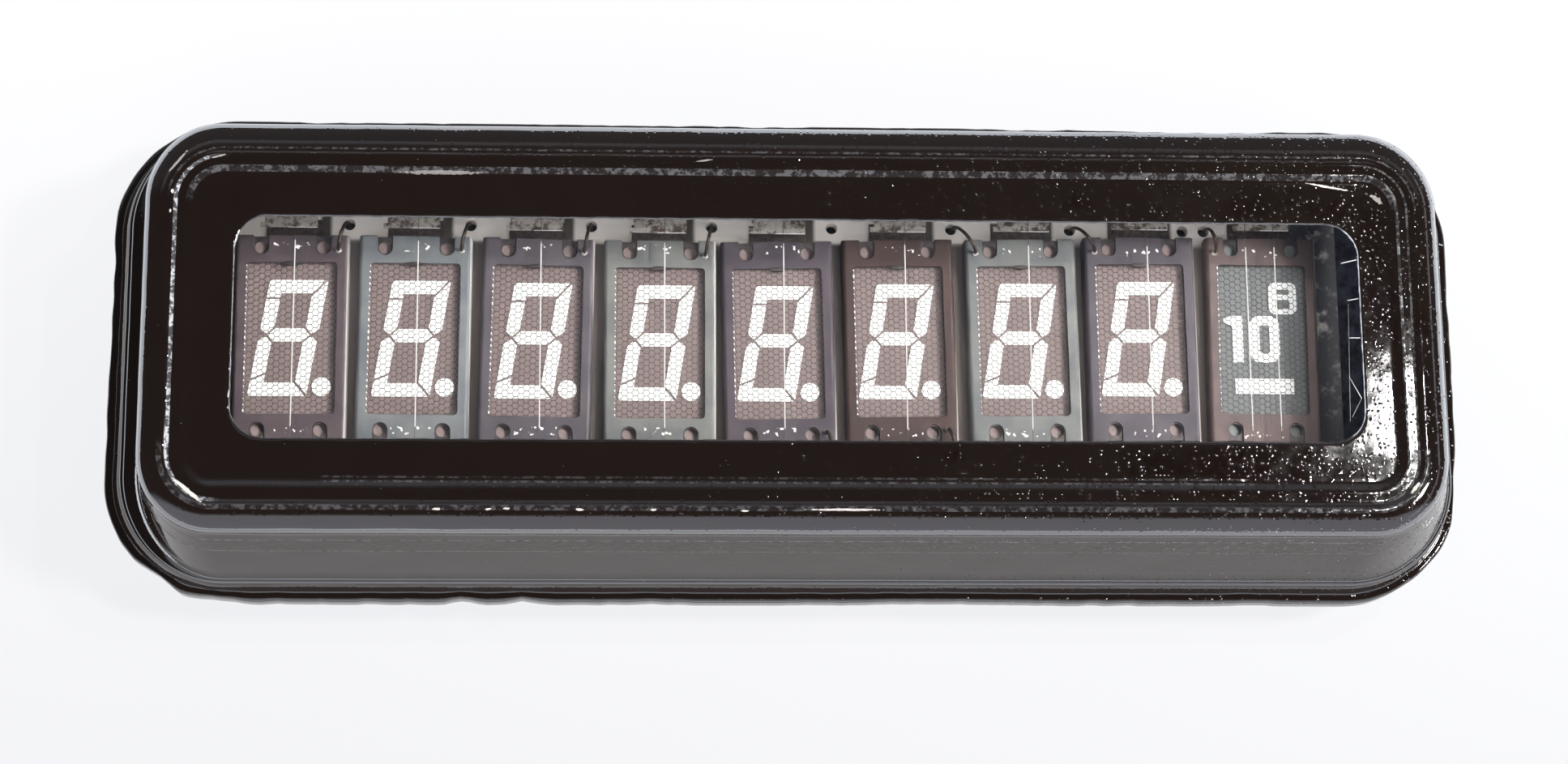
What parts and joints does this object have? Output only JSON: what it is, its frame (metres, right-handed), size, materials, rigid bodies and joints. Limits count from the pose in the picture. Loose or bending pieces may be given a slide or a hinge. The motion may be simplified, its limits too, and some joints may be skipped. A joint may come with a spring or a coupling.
{
  "type": "vacuum fluorescent display tube",
  "caption": "Flat glass display tube: a row of figure-eight digits under hexagonal grids behind a clear window in a black-lacquered glass box, on two rows of stiff pins.",
  "frame": {"origin": "on the surface that the pin tips stand on, below the middle of the base plate", "axes": "+X along the row of digits, left to right as they are read; +Y towards the top of the digits; +Z out of the viewing window"},
  "size_m": [0.0948, 0.0346, 0.018],
  "materials": {
    "base_glass": "clear pressed glass, painted black at its edge",
    "sealing_glass": "dark sealing glass",
    "clear_glass": "clear pressed glass",
    "black_coat": "thick glossy black lacquer with fine specks, chips and a scuffed rim",
    "pin_metal": "dull tinned wire",
    "board_ceramic": "matte cream ceramic",
    "getter_metal": "plain sheet",
    "bracket_metal": "sheet with brown heat stains",
    "lead_wire": "oxidised wire",
    "anode_pink": "matte pinkish grey glaze",
    "anode_grey": "matte neutral grey glaze",
    "phosphor": "matte white powder layer",
    "mesh_metal": "etched sheet",
    "frame_violet": "heat-tinted steel, dark violet grey",
    "frame_pale": "heat-tinted steel, pale blue green",
    "frame_blue": "heat-tinted steel, dark blue grey",
    "frame_brown": "heat-tinted steel, reddish brown",
    "filament_oxide": "white oxide on fine wire"
  },
  "bodies": {
    "root": {"base_glass": "base_glass", "seal_bead": "sealing_glass", "glass_cover": "clear_glass", "black_coat": "black_coat", "exhaust_tip": "base_glass", "front_pins": "pin_metal", "back_pins": "pin_metal", "ceramic_board": "board_ceramic", "getter_ring": "getter_metal", "getter_post": "getter_metal", "filament_springs": "bracket_metal", "filament_anchors": "bracket_metal", "grid_leads": "lead_wire", "anode_plate_1": "anode_pink", "anode_plate_2": "anode_pink", "anode_plate_3": "anode_pink", "anode_plate_4": "anode_pink", "anode_plate_5": "anode_pink", "anode_plate_6": "anode_pink", "anode_plate_7": "anode_pink", "anode_plate_8": "anode_pink", "anode_plate_9": "anode_grey", "phosphor_1": "phosphor", "phosphor_2": "phosphor", "phosphor_3": "phosphor", "phosphor_4": "phosphor", "phosphor_5": "phosphor", "phosphor_6": "phosphor", "phosphor_7": "phosphor", "phosphor_8": "phosphor", "phosphor_9": "phosphor", "grid_mesh_1": "mesh_metal", "grid_mesh_2": "mesh_metal", "grid_mesh_3": "mesh_metal", "grid_mesh_4": "mesh_metal", "grid_mesh_5": "mesh_metal", "grid_mesh_6": "mesh_metal", "grid_mesh_7": "mesh_metal", "grid_mesh_8": "mesh_metal", "grid_mesh_9": "mesh_metal", "grid_frame_1": "frame_violet", "grid_frame_2": "frame_pale", "grid_frame_3": "frame_blue", "grid_frame_4": "frame_pale", "grid_frame_5": "frame_blue", "grid_frame_6": "frame_brown", "grid_frame_7": "frame_pale", "grid_frame_8": "frame_violet", "grid_frame_9": "frame_brown", "filament_1": "filament_oxide", "filament_2": "filament_oxide", "filament_3": "filament_oxide", "filament_4": "filament_oxide", "filament_5": "filament_oxide", "filament_6": "filament_oxide", "filament_7": "filament_oxide", "filament_8": "filament_oxide", "filament_9": "filament_oxide"}
  },
  "joints": []
}
